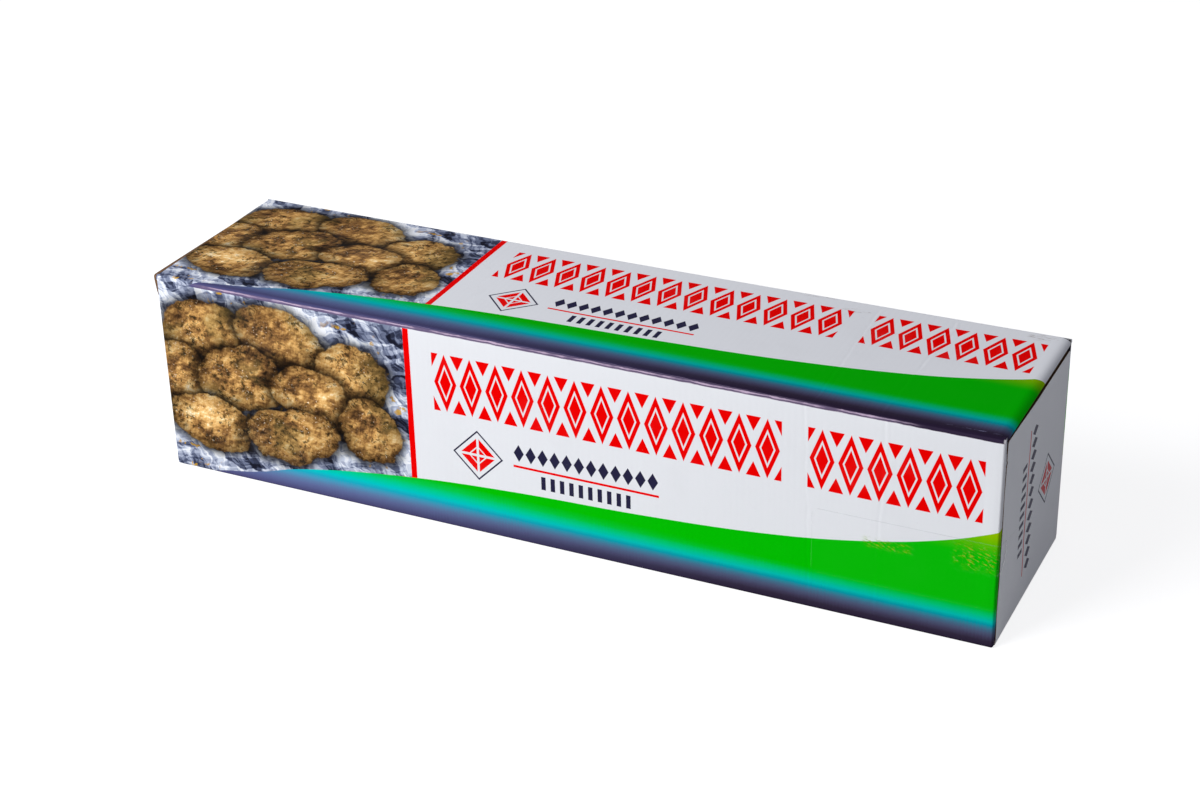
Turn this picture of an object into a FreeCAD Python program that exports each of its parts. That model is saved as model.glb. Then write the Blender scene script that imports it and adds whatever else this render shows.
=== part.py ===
import FreeCAD, Part
import math
import os

os.makedirs("parts", exist_ok=True)

# A roll of kitchen foil in its closed carton of fluted board, lying on its bottom panel.
# X runs along the roll, the front panel faces -Y, Z is up, all in millimetres.
# The origin is on the ground under the middle of the carton.

# Outside of the carton, from end flap to end flap, front to back and bottom to top
carton_length = 310.0
carton_width = 75.0
carton_height = 76.0
board = 1.2

# Outer radii of the scored folds
long_fold = 1.3
side_fold = 0.8
bottom_fold = 1.1
tab_fold = 1.0

# Glued long seam, where the back panel's cut edge stands a little above the tab's fold
seam_rise = 0.2

# Outer end flaps, which fold up from the bottom panel. The right one is pressed in between the side folds,
# the left one lies on its side flaps with its whole thickness showing.
right_side_step = 0.1
left_side_step = 1.2
flap_margin = 2.2
slot_clearance = 0.5
flap_front_corner = 1.0
flap_back_corner = 1.5
slit_depth = 6.0
corner_relief = 1.6

# Right end: a rounded top fold, then an open slit over the flap's sloping edge
right_top_fold = 1.8
right_slit = 0.5
right_gap_front = 0.6
right_gap_back = 2.8
right_bend_from_front = 33.0

# Left end: a tighter top fold with no slit, and a flap edge that comes nearly level with the top
left_top_fold = 0.8
left_gap_front = 0.2
left_gap_back = 1.2
left_bend_from_front = 50.0

# The left flap's top front corner, which reaches further forward than the rest of its edge
left_corner_reach = 1.8
left_corner_height = 7.0

# Torn notch in the right flap's front edge
notch_from_top = 9.5
notch_size = 1.4

# Clear tape over the front panel's right end and on round to the end flap
film = 0.06
tape_width = 24.0
tape_top = 38.2
tape_on_front = 62.0
tape_on_end = 21.5
tape_skew = 12.0
tape_corner = 2.5

# Faces and lines that several parts share
end_face = carton_length / 2
front_face = -carton_width / 2
back_face = carton_width / 2
right_side_face = end_face - right_side_step
left_side_face = end_face - left_side_step
flap_inner_face = end_face - board
flap_front = front_face + flap_margin
flap_back = back_face - flap_margin
flap_root = end_face - bottom_fold - board

# How far a cutting or masking block reaches past what it cuts
past = 5.0


def vec(x, y, z):
    return FreeCAD.Vector(x, y, z)


def line(start, end):
    return Part.LineSegment(start, end).toShape()


def arc(centre, start, end):
    """Arc about a centre from start to end, the short way round."""
    middle = (start + end) * 0.5 - centre
    middle.normalize()
    return Part.Arc(start, centre + middle * (start - centre).Length, end).toShape()


def swept(edges, sweep):
    """Solid swept from a closed loop of edges."""
    return Part.Face(Part.Wire(edges)).extrude(sweep)


def swept_polygon(points, sweep):
    """Solid swept from a closed polygon."""
    return Part.Face(Part.makePolygon(points + [points[0]])).extrude(sweep)


def block(low, high):
    size = high - low
    return Part.makeBox(size.x, size.y, size.z, low)


def edges_along(solid, axis):
    """Straight edges of a solid that run along an axis."""
    found = []
    for edge in solid.Edges:
        if isinstance(edge.Curve, Part.Line) and abs(edge.tangentAt(edge.FirstParameter).dot(axis)) > 0.999:
            found.append(edge)
    return found


def sleeve():
    """The four long panels with their scored folds, closed to the side folds at both ends."""
    low = vec(-left_side_face, front_face, 0)
    high = vec(right_side_face, back_face, carton_height)
    body = block(low, high)
    folds = [edge for edge in edges_along(body, vec(1, 0, 0)) if not on_seam(edge)]
    body = body.makeFillet(long_fold, folds)
    seam = [edge for edge in edges_along(body, vec(1, 0, 0)) if on_seam(edge)]
    body = body.makeFillet(tab_fold, seam)
    outline = [edge for edge in body.Edges if edge.BoundBox.XLength < board]
    return body.makeFillet(side_fold, outline)


def on_seam(edge):
    """Whether an edge is the corner of the bottom and the back, where the long seam is glued."""
    centre = edge.BoundBox.Center
    return abs(centre.y - back_face) < side_fold and abs(centre.z) < side_fold


def seam_cut():
    """What is left open under the back panel's cut edge, outside the fold of the glued tab."""
    inner = back_face - board
    x = -end_face - past
    top = vec(x, inner, tab_fold + seam_rise)
    fold_top = vec(x, inner, tab_fold)
    fold_end = vec(x, inner - tab_fold, 0)
    below = vec(x, inner - tab_fold, -past)
    outside_low = vec(x, back_face + past, -past)
    outside_high = vec(x, back_face + past, tab_fold + seam_rise)
    edges = [line(top, fold_top)]
    edges.append(arc(vec(x, inner - tab_fold, tab_fold), fold_top, fold_end))
    edges.append(line(fold_end, below))
    edges.append(line(below, outside_low))
    edges.append(line(outside_low, outside_high))
    edges.append(line(outside_high, top))
    return swept(edges, vec(2 * (end_face + past), 0, 0))


def top_roll_cut(fold, slit=0.0):
    """What the top panel's rolled end leaves open above and in front of the inner flap."""
    roll_face = flap_inner_face - slit
    y = flap_front - slot_clearance
    roll_start = vec(roll_face - fold, y, carton_height)
    roll_end = vec(roll_face, y, carton_height - fold)
    slit_bottom = vec(roll_face, y, carton_height - slit_depth)
    out_low = vec(end_face + past, y, carton_height - slit_depth)
    out_high = vec(end_face + past, y, carton_height + past)
    above = vec(roll_face - fold, y, carton_height + past)
    edges = [arc(vec(roll_face - fold, y, carton_height - fold), roll_start, roll_end)]
    edges.append(line(roll_end, slit_bottom))
    edges.append(line(slit_bottom, out_low))
    edges.append(line(out_low, out_high))
    edges.append(line(out_high, above))
    edges.append(line(above, roll_start))
    roll = swept(edges, vec(0, flap_back + slot_clearance - y, 0))
    corner_low = vec(roll_face, front_face - past, carton_height - corner_relief)
    corner_high = vec(end_face + past, back_face + past, carton_height + past)
    return roll.fuse(block(corner_low, corner_high))


def flap_fold_cut():
    """Room for the right-hand outer flap's fold between the side folds."""
    low = vec(flap_root, flap_front, -past)
    high = vec(end_face + past, flap_back, bottom_fold + board)
    return block(low, high)


def outer_flap(gap_front, gap_back, bend_from_front, corner_reach=0.0):
    """Right-hand end flap with its scored bottom fold and cut edges."""
    root_top = bottom_fold + board
    y = flap_front - corner_reach
    start = vec(flap_root, y, 0)
    fold_start = vec(end_face - bottom_fold, y, 0)
    fold_end = vec(end_face, y, bottom_fold)
    out_top = vec(end_face, y, carton_height)
    in_top = vec(flap_inner_face, y, carton_height)
    in_low = vec(flap_inner_face, y, root_top)
    root_high = vec(flap_root, y, root_top)
    edges = [line(start, fold_start)]
    edges.append(arc(vec(end_face - bottom_fold, y, bottom_fold), fold_start, fold_end))
    edges.append(line(fold_end, out_top))
    edges.append(line(out_top, in_top))
    edges.append(line(in_top, in_low))
    edges.append(line(in_low, root_high))
    edges.append(line(root_high, start))
    sheet = swept(edges, vec(0, flap_back - y, 0))
    return sheet.common(flap_outline(gap_front, gap_back, bend_from_front, corner_reach))


def flap_outline(gap_front, gap_back, bend_from_front, corner_reach):
    """Block with the flap's outline: a top edge that slopes and then runs level, and rounded corners."""
    x = flap_root - past
    high_front = carton_height - gap_front
    high_back = carton_height - gap_back
    points = [vec(x, flap_front, -past)]
    if corner_reach:
        points.append(vec(x, flap_front, high_front - left_corner_height))
    points.append(vec(x, flap_front - corner_reach, high_front))
    points.append(vec(x, front_face + bend_from_front, high_back))
    points.append(vec(x, flap_back, high_back))
    points.append(vec(x, flap_back, -past))
    outline = swept_polygon(points, vec(end_face + past - x, 0, 0))
    outline = outline.makeFillet(flap_front_corner, [top_corner(outline, flap_front - corner_reach)])
    return outline.makeFillet(flap_back_corner, [top_corner(outline, flap_back)])


def top_corner(outline, y):
    """The edge of the outline block at the flap's top corner on the side at y."""
    found = edges_along(outline, vec(1, 0, 0))
    found = [edge for edge in found if abs(edge.BoundBox.Center.y - y) < board]
    return max(found, key=lambda edge: edge.BoundBox.Center.z)


def notch_cut():
    """Small torn notch in the right flap's front edge."""
    x = flap_inner_face
    height = carton_height - notch_from_top
    points = [vec(x, flap_front, height - notch_size / 2)]
    points.append(vec(x, flap_front + notch_size, height))
    points.append(vec(x, flap_front, height + notch_size / 2))
    return swept_polygon(points, vec(board + past, 0, 0))


def mirrored(shape):
    """The same shape at the other end of the carton."""
    return shape.mirror(vec(0, 0, 0), vec(1, 0, 0))


def sealed_carton():
    """The carton, glued shut round its roll, as one solid."""
    right_cut = top_roll_cut(right_top_fold, right_slit)
    left_cut = mirrored(top_roll_cut(left_top_fold))
    right_flap = outer_flap(right_gap_front, right_gap_back, right_bend_from_front).cut(notch_cut())
    left_flap = mirrored(outer_flap(left_gap_front, left_gap_back, left_bend_from_front, left_corner_reach))
    body = sleeve().cut(seam_cut()).cut(right_cut).cut(left_cut)
    body = body.cut(flap_fold_cut()).cut(mirrored(flap_fold_cut()))
    body = body.fuse([right_flap, left_flap])
    return body.removeSplitter().Solids[0]


def tangent_point(centre, radius, outside):
    """Point where a line from an outside point touches a circle, on the circle's front side."""
    reach = outside - centre
    angle = math.atan2(reach.y, reach.x) - math.acos(radius / reach.Length)
    return centre + vec(radius * math.cos(angle), radius * math.sin(angle), 0)


def tape_band():
    """The tape as bent round the front corner, tall enough to be trimmed to its outline."""
    centre = vec(right_side_face - side_fold, front_face + side_fold, 0)
    start = vec(end_face - tape_on_front, front_face, 0)
    corner = vec(centre.x, front_face, 0)
    flap_edge = vec(end_face, flap_front, 0)
    finish = vec(end_face, front_face + tape_on_end, 0)
    touch = tangent_point(centre, side_fold, flap_edge)
    out = touch - centre
    out.normalize()
    outer_touch = touch + out * film
    outer_edge = flap_edge + vec(film, 0, 0) * (1 / math.cos(math.atan2(out.y, out.x) / 2))
    edges = [line(start, corner), arc(centre, corner, touch), line(touch, flap_edge), line(flap_edge, finish)]
    edges.append(line(finish, finish + vec(film, 0, 0)))
    edges.append(line(finish + vec(film, 0, 0), outer_edge))
    edges.append(line(outer_edge, outer_touch))
    edges.append(arc(centre, outer_touch, corner + vec(0, -film, 0)))
    edges.append(line(corner + vec(0, -film, 0), start + vec(0, -film, 0)))
    edges.append(line(start + vec(0, -film, 0), start))
    return swept(edges, vec(0, 0, carton_height))


def clear_tape():
    """Strip of clear film, level on the front panel and running down a little on the end flap."""
    corner_x = right_side_face - side_fold
    tape_low = tape_top - tape_width
    drop = tape_on_end * math.tan(math.radians(tape_skew))
    mask_low = vec(end_face - tape_on_front, front_face - past, tape_low)
    mask = block(mask_low, vec(corner_x, front_face + past, tape_top))
    left_edges = []
    for edge in edges_along(mask, vec(0, 1, 0)):
        if edge.BoundBox.Center.x < corner_x - tape_corner:
            left_edges.append(edge)
    mask = mask.makeFillet(tape_corner, left_edges)
    points = [vec(corner_x, front_face, tape_low), vec(corner_x, front_face, tape_top)]
    points.append(vec(corner_x, front_face + tape_on_end, tape_top - drop))
    points.append(vec(corner_x, front_face + tape_on_end, tape_low - drop))
    round_end = swept_polygon(points, vec(side_fold + past, 0, 0))
    wrap = block(vec(corner_x, front_face - film, tape_low), vec(end_face + past, front_face, tape_top))
    band = tape_band()
    strip = band.common(mask).fuse([band.common(round_end), band.common(wrap)])
    return strip.removeSplitter().Solids[0]


sealed_carton().exportStep("parts/sealed_carton.step")
clear_tape().exportStep("parts/clear_tape.step")
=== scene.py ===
"""Kitchen foil carton: printed board, its cut edges and clear tape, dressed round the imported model."""
import math

import bmesh
import bpy
import numpy as np
from bpy.props import FloatProperty, FloatVectorProperty, PointerProperty
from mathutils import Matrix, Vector


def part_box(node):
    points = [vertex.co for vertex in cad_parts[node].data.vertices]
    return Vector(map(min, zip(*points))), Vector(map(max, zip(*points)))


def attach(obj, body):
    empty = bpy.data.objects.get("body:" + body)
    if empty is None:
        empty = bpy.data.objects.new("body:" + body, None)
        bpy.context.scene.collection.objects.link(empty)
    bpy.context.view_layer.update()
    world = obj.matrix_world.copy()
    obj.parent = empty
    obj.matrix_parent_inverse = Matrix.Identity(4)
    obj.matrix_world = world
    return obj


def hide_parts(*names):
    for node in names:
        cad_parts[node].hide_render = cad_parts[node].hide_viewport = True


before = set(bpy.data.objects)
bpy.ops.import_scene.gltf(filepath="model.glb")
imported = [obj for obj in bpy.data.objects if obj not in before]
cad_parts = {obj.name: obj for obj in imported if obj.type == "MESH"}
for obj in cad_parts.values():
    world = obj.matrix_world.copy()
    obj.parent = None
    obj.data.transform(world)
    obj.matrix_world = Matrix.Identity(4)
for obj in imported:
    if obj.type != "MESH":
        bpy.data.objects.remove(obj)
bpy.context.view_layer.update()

bl_info = {
    "name": "Foil carton",
    "version": (1, 0, 0),
    "blender": (4, 5, 0),
    "location": "3D View > Sidebar > Foil carton",
    "description": "Builds a printed carton for a roll of kitchen foil, with its taped end",
    "category": "Add Mesh",
}

CARTON_LOW, CARTON_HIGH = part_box("sealed_carton")
TAPE_LOW, TAPE_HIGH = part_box("clear_tape")

# Metres for each millimetre, and the map that holds every face's place on the print, in millimetres
MM = 0.001
PRINT_MAP = "print_mm"

# Which of a mesh's materials a face takes
PRINTED, RAW_EDGE, LINING, PICTURE = 0, 1, 2, 3

# How far from each end of the carton its plain middle stops, in millimetres
END_START = 4.0

# Height of the left flap's top corner that reaches forward
LEFT_CORNER_HEIGHT = 9.0

# The cut top edge of each outer flap: how far it lies below the top panel at its front and behind its bend,
# and how far back that bend is
RIGHT_FLAP_TOP = (2.0, 3.2, 33.0)
LEFT_FLAP_TOP = (0.2, 1.2, 50.0)

# Radii of the outer flaps' front and back top corners
FLAP_CORNERS = (1.0, 1.5)

# A place on the print that is plain white
WHITE_PLACE = (130.0, 72.0)

# How far from the carton's middle its print ends, measured along the unfolded board
PRINT_END = 156.3

# Places along the carton of the two faint creases that run round it
CREASES = (91.0, 115.5)

# Sockets of Blender's Mix node when it mixes colours
MIX_UNDER, MIX_OVER, MIX_RESULT = 6, 7, 2


def screen_colour(red, green, blue):
    """A colour named as it shows on a screen, from 0 to 255, as the linear values that shaders take."""
    shares = [value / 255 for value in (red, green, blue)]
    return tuple(s / 12.92 if s <= 0.04045 else ((s + 0.055) / 1.055) ** 2.4 for s in shares)


def length(name, description, default_mm):
    """A length that is shown in the sidebar."""
    return FloatProperty(name=name, description=description, default=default_mm * MM,
                         unit="LENGTH", subtype="DISTANCE", precision=5)


def colour(name, description, red, green, blue):
    """A colour that is shown in the sidebar."""
    return FloatVectorProperty(name=name, description=description, default=screen_colour(red, green, blue),
                               subtype="COLOR", size=3, min=0.0, max=1.0)


class CartonSizes(bpy.types.PropertyGroup):
    """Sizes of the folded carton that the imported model's box doesn't give."""
    board: length("Board", "Thickness of the fluted board", 1.2)
    flute_pitch: length("Flute pitch", "Distance from one flute of the board to the next", 2.2)
    long_fold: length("Long fold", "Outer radius of the folds between the long panels", 1.3)
    side_fold: length("Side fold", "Outer radius of the folds of the side flaps", 0.8)
    right_step: length("Right step", "How far the right side folds lie behind the outer flap", 0.3)
    left_step: length("Left step", "How far the left side folds lie behind the outer flap", 1.2)
    bottom_fold: length("Bottom fold", "Outer radius of the end flap's fold", 1.1)
    tab_fold: length("Tab fold", "Outer radius of the glued tab's fold", 1.0)
    seam_rise: length("Seam rise", "Height of the back panel's cut edge over the tab's fold", 0.2)
    flap_margin: length("Flap margin", "Distance from a long panel's face to the end flap's edge", 2.2)
    slot: length("Slot", "Width of the slot beside the end flap's top", 0.5)
    slit_depth: length("Slit depth", "How far down the inner flap shows behind the outer one", 6.0)
    relief: length("Corner relief", "Depth of the cut that frees the folds at the end's top corners", 1.6)
    right_roll: length("Right top fold", "Outer radius of the top panel's fold at the right end", 1.8)
    right_slit: length("Right slit", "Gap between the top fold and the flap at the right end", 0.5)
    right_overhang: length("Right overhang", "How far that fold bulges out over the flap's edge", 1.42)
    left_roll: length("Left top fold", "Outer radius of the top panel's fold at the left end", 0.8)
    left_corner: length("Left corner", "Reach of the left flap's top corner past its front edge", 1.8)
    notch_height: length("Notch height", "Height of the torn notch in the right flap's front edge", 66.5)
    notch: length("Notch", "Size of that notch", 1.4)
    tape_width: length("Tape width", "Width of the clear tape", 24.0)


class PrintSizes(bpy.types.PropertyGroup):
    """Places on one long panel, measured up from the fold that the coloured stripe lies along."""
    wrap: length("Wrap", "How far each panel's print runs on past its fold", 1.95)
    back_short: length("Back short", "How far the back's print stops short of its fold to the top", 1.0)
    bar_left: length("Red bar, left", "Left side of the red bar beside the picture field", -54.6)
    bar_right: length("Red bar, right", "Right side of the red bar", -52.4)
    border_left: length("Border, left", "Left end of the red border of lozenges", -44.0)
    border_right: length("Border, right", "Right end of the red border", 149.0)
    border_gap: length("Border gap", "Middle of the plain gap in the border", 87.0)
    border_low: length("Border, low", "Bottom of the border", 45.0)
    border_high: length("Border, high", "Top of the border", 67.0)
    badge_x: length("Badge across", "Middle of the small badge along the panel", -28.0)
    badge_v: length("Badge up", "Middle of the small badge up the panel", 30.6)
    badge_reach: length("Badge reach", "Distance from the badge's middle to its points", 9.6)
    row_middle: length("Rows", "Middle of the two rows of small marks", 12.5)
    rule_v: length("Rule", "Height of the red rule between the rows", 29.6)


class PrintColours(bpy.types.PropertyGroup):
    """Inks and board."""
    white: colour("White", "Coated white face of the board", 233, 235, 239)
    red: colour("Red", "Ink of the bar, the border and the rule", 240, 0, 0)
    navy: colour("Navy", "Ink of the small marks", 40, 38, 66)
    dusk: colour("Dusk", "Stripe at the fold", 40, 30, 52)
    slate: colour("Slate", "Stripe just above the fold", 78, 88, 118)
    teal: colour("Teal", "Stripe between slate and turquoise", 8, 150, 168)
    turquoise: colour("Turquoise", "Stripe below the green", 2, 190, 178)
    green: colour("Green", "Upper part of the stripe", 3, 193, 2)
    lime: colour("Lime", "Stripe's upper right corner", 168, 196, 0)
    kraft: colour("Kraft", "Bare brown board", 138, 104, 76)
    golden: colour("Golden", "Lit side of the baked pieces", 206, 159, 94)
    crust: colour("Crust", "Dark side of the baked pieces", 94, 66, 40)


class StageLook(bpy.types.PropertyGroup):
    """Lamps, surroundings and camera."""
    key_share: FloatProperty(name="Key lamp", description="Light of the key lamp on a face turned to it, "
                             "where 1 shows white as white", default=1.05, min=0.0)
    key_size: length("Key size", "Side of the key lamp", 800)
    ambient: FloatProperty(name="Ambient", description="Strength of the light from all round",
                           default=0.27, min=0.0)
    floor_albedo: FloatProperty(name="Floor", description="Share of light that the floor throws back",
                                default=0.45, min=0.0, max=1.0)
    floor_glow: FloatProperty(name="Floor glow", description="White shown on the floor beside its lit share",
                              default=0.8, min=0.0, max=1.0)
    focal_length: FloatProperty(name="Lens", description="Focal length in mm on a 36 mm wide sensor",
                                default=71.41)


def carton_limits():
    """Half length, front, back and height of the carton, in millimetres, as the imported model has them."""
    return CARTON_HIGH.x / MM, CARTON_LOW.y / MM, CARTON_HIGH.y / MM, CARTON_HIGH.z / MM


class Measures:
    """A group of sizes read as millimetres."""

    def __init__(self, group):
        self.group = group

    def __getattr__(self, name):
        return getattr(self.group, name) / MM


# Meshes


class Surface:
    """Grids of points gathered into one mesh, each face with its place on the print."""

    def __init__(self):
        self.points, self.quads, self.maps, self.slots = [], [], [], []
        self.count = 0

    def grid(self, points, low_map, high_map=None, slot=PRINTED, flip=False):
        """A sheet of points. Each strip takes low_map on its first row and high_map on its second."""
        if high_map is None:
            low_map, high_map = low_map[:-1], low_map[1:]
        rows, columns = points.shape[:2]
        index = self.count + np.arange(rows * columns).reshape(rows, columns)
        corners = [index[:-1, :-1], index[1:, :-1], index[1:, 1:], index[:-1, 1:]]
        quads = np.stack(corners, -1).reshape(-1, 4)
        maps = np.stack([low_map[:, :-1], high_map[:, :-1], high_map[:, 1:], low_map[:, 1:]], -2)
        maps = maps.reshape(-1, 4, 2)
        if flip:
            quads, maps = quads[:, ::-1], maps[:, ::-1]
        self.points.append(points.reshape(-1, 3))
        self.quads.append(quads)
        self.maps.append(maps)
        self.slots.append(np.full(len(quads), slot))
        self.count += rows * columns

    def mirror(self):
        """Turns the surface over to the other end of the carton."""
        self.points = [points * (-1, 1, 1) for points in self.points]
        self.quads = [quads[:, ::-1] for quads in self.quads]
        self.maps = [maps[:, ::-1] * (-1, 1) for maps in self.maps]

    def take(self, other):
        """Adds another surface's grids to this one."""
        self.points += other.points
        self.quads += [quads + self.count for quads in other.quads]
        self.maps += other.maps
        self.slots += other.slots
        self.count += other.count

    def build(self, name, materials, sharp=38.0):
        """The mesh object, with touching grids joined and edges over the sharp angle kept crisp."""
        mesh = bpy.data.meshes.new(name)
        points = np.concatenate(self.points) * MM
        mesh.from_pydata(points.tolist(), [], np.concatenate(self.quads).tolist())
        layer = mesh.uv_layers.new(name=PRINT_MAP)
        layer.uv.foreach_set("vector", np.concatenate(self.maps).astype(np.float32).ravel())
        mesh.polygons.foreach_set("material_index", np.concatenate(self.slots).astype(np.int32))
        mesh.polygons.foreach_set("use_smooth", np.ones(len(mesh.polygons), bool))
        joined = bmesh.new()
        joined.from_mesh(mesh)
        bmesh.ops.remove_doubles(joined, verts=joined.verts, dist=2e-6)
        bmesh.ops.dissolve_degenerate(joined, edges=joined.edges, dist=1e-6)
        joined.to_mesh(mesh)
        joined.free()
        mesh.set_sharp_from_angle(angle=math.radians(sharp))
        for material in materials:
            mesh.materials.append(material)
        piece = bpy.data.objects.new(name, mesh)
        bpy.context.scene.collection.objects.link(piece)
        return piece


def flat_map(across, up):
    """Print places for a grid from two arrays that fill it."""
    across, up = np.broadcast_arrays(across, up)
    return np.stack([across, up], -1).astype(float)


def close_at_ends(reach, fine, coarse, margin):
    """Places from 0 to reach, close together near both ends."""
    near = np.arange(0, margin, fine)
    middle = np.linspace(margin, reach - margin, int((reach - 2 * margin) / coarse) + 2)
    return np.concatenate([near, middle, reach - near[::-1]])


def ripple(place, wavelengths, seed):
    """A smooth wavy line between about -1 and 1, the same at each run."""
    phases = np.random.default_rng(seed).uniform(0, 2 * math.pi, len(wavelengths))
    waves = [np.sin(2 * math.pi * place / w + p) for w, p in zip(wavelengths, phases)]
    return sum(waves) / math.sqrt(len(wavelengths))


def smooth_step(value, low, high):
    """Rises from 0 at low to 1 at high."""
    share = np.clip((value - low) / (high - low), 0, 1)
    return share * share * (3 - 2 * share)


class Girth:
    """Stations round the long panels, from the top's back fold over the top, front, bottom and back."""

    def __init__(self, sizes, print_sizes):
        self.half, self.front, self.back, self.height = carton_limits()
        width = self.back - self.front
        self.folds = np.cumsum([0, width, self.height, width, self.height])
        self.wrap = print_sizes.wrap
        short = -print_sizes.back_short
        self.breaks = self.folds + np.array([short, *[self.wrap] * 3, short])
        self.sizes = sizes
        rows = np.concatenate(self.runs())
        self.y, self.z, self.ny, self.nz, self.s, self.raw = rows.T

    def arc(self, centre_y, centre_z, radius, start_turn, s_start, s_end):
        """Stations on a rounded fold, which turns by a right angle."""
        s = np.linspace(s_start, s_end, 11)
        breaks = [place for place in self.breaks if s_start < place < s_end]
        s = np.unique(np.concatenate([s, breaks]))
        turn = start_turn + (s - s_start) / (s_end - s_start) * math.pi / 2
        ny, nz = np.cos(turn), np.sin(turn)
        return np.stack([centre_y + radius * ny, centre_z + radius * nz, ny, nz, s, 0 * s], 1)

    def flat(self, start, end, normal, s_start, extra=()):
        """Stations on a flat between two points, each a pair of y and z."""
        span = np.subtract(end, start)
        reach = np.hypot(*span)
        extra = [place for place in extra if 0 < place < reach]
        steps = np.unique(np.concatenate([close_at_ends(reach, 0.45, 1.9, 3.6), extra]))
        places = np.add(start, steps[:, None] / reach * span)
        ones = np.ones(len(steps))
        facing = [ones * part for part in normal]
        return np.stack([*places.T, *facing, s_start + steps, 0 * steps], 1)

    def runs(self):
        """The folds and flats in order, with the glued seam at the bottom of the back."""
        sizes, f = self.sizes, self.folds
        r, tab, margin = sizes.long_fold, sizes.tab_fold, sizes.flap_margin
        wrapped, relief, slot = self.wrap - r, sizes.relief - r, sizes.slit_depth - r
        low_front, high_back = self.front + r, self.back - r
        roof = self.height - r
        inner = self.back - sizes.board
        tab_start, seam = inner - tab, tab + sizes.seam_rise
        rise = roof - seam

        top = self.flat((high_back, self.height), (low_front, self.height), (0, 1), f[0] + r, [wrapped])
        top_fold = self.arc(low_front, roof, r, math.pi / 2, f[1] - r, f[1] + r)
        front = self.flat((self.front, roof), (self.front, r), (-1, 0), f[1] + r, [wrapped, relief, slot])
        low_fold = self.arc(low_front, r, r, math.pi, f[2] - r, f[2] + r)
        edges = [wrapped, margin - r, self.back - margin - low_front]
        under = self.flat((low_front, 0), (tab_start, 0), (0, -1), f[2] + r, edges)
        turn = under[-1, 4]
        tab_turn = self.arc(tab_start, tab, tab, 1.5 * math.pi, turn, turn + 2 * tab)
        cut = turn + 2 * tab + 0.1
        seam_edge = np.array([[inner, seam, 0, -1, cut, 1],
                              [self.back, seam, 0, -1, cut + 0.05, 1]], float)
        edges = [self.wrap - seam, rise - relief, rise - slot]
        back = self.flat((self.back, seam), (self.back, roof), (1, 0), f[3] + seam, edges)
        last_fold = self.arc(high_back, roof, r, 0, f[4] - r, f[4] + r)
        joined = [run[:-1] for run in (top, top_fold, front, low_fold, under)]
        return joined + [tab_turn, seam_edge, back[:-1], last_fold]

    def between(self, start, end):
        """The stations from one distance round the girth to another."""
        part = object.__new__(Girth)
        part.__dict__.update(self.__dict__)
        chosen = (self.s > start - 1e-6) & (self.s < end + 1e-6)
        for name in ("y", "z", "ny", "nz", "s", "raw"):
            setattr(part, name, getattr(self, name)[chosen])
        return part

    def print_up(self):
        """How far up its panel's print each strip's first and second row lie."""
        middle = (self.s[:-1] + self.s[1:]) / 2
        folds = np.append(self.folds, self.folds[4] + self.folds[1])
        fold = folds[np.searchsorted(np.append(self.breaks, folds[5]), middle)]
        return fold - self.s[:-1], fold - self.s[1:]

    def dents(self, x):
        """How far the faces lie in from the true planes: dished panels, creases and a crumpled fold."""
        s = self.s[:, None]
        top_front = self.folds[1]
        panel = np.searchsorted(self.folds, s.ravel(), side="right")[:, None].clip(1, 4)
        share = (s - self.folds[panel - 1]) / (self.folds[panel] - self.folds[panel - 1])
        dish = np.sin(math.pi * share.clip(0, 1)) ** 1.3
        depth = dish * (0.2 + 0.07 * ripple(x + 31 * panel, (97, 61), 5))
        to_back = np.minimum(np.abs(s), np.abs(s - self.folds[4]))
        depth = depth + 0.3 * np.exp(-((to_back / 14) ** 2)) * (1 - (x / self.half) ** 2)
        on_show = smooth_step(s, 2, 5) * (1 - smooth_step(s, self.folds[2] - 3, self.folds[2]))
        for middle, lean, deep in zip(CREASES, (2.6, -2.0), (0.035, 0.045)):
            line = middle + lean * (share - 0.5) + 0.25 * ripple(s, (23, 11), int(middle))
            depth = depth + on_show * deep * np.exp(-(((x - line) / 0.42) ** 2))
            depth = depth - on_show * 0.6 * deep * np.exp(-(((x - line - 1.0) / 0.5) ** 2))
        line = top_front + 0.9 + 0.45 * ripple(x, (41, 17, 9), 2)
        crumple = 0.07 + 0.05 * ripple(x, (29, 13, 6.1), 3)
        depth = depth + crumple * np.exp(-(((s - line) / 0.5) ** 2))
        soft = np.exp(-(((s - top_front) / 2.4) ** 2))
        waves = 0.09 + 0.06 * ripple(x, (53, 24, 8.3), 4) + 0.03 * ripple(x + 2 * s, (5.1, 3.7), 6)
        depth = depth + soft * waves
        fade = 1 - smooth_step(np.abs(x), self.half - 7, self.half - 3)
        return depth * fade

    def outside(self, x, inset):
        """Points of the carton's outside at each station and place along it, set in by a distance."""
        x, inset = np.broadcast_arrays(np.atleast_2d(x), np.atleast_2d(inset))
        depth = inset + self.dents(x)
        y = (self.y[:, None] - self.ny[:, None] * depth).clip(self.front + inset, self.back - inset)
        z = (self.z[:, None] - self.nz[:, None] * depth).clip(inset, self.height - inset)
        return np.stack([np.broadcast_to(x, y.shape), y, z], -1)


def body_columns(start, end):
    """Places along the body, closer together at the creases."""
    even = np.linspace(start, end, round((end - start) / 1.29) + 1)
    creases = [np.arange(m - 2.4, m + 3.4, 0.3) for m in CREASES if start < m < end]
    far = [x for x in even if all(abs(x - m - 0.5) > 3.2 for m in CREASES)]
    return np.unique(np.concatenate([far, *creases]))


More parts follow.
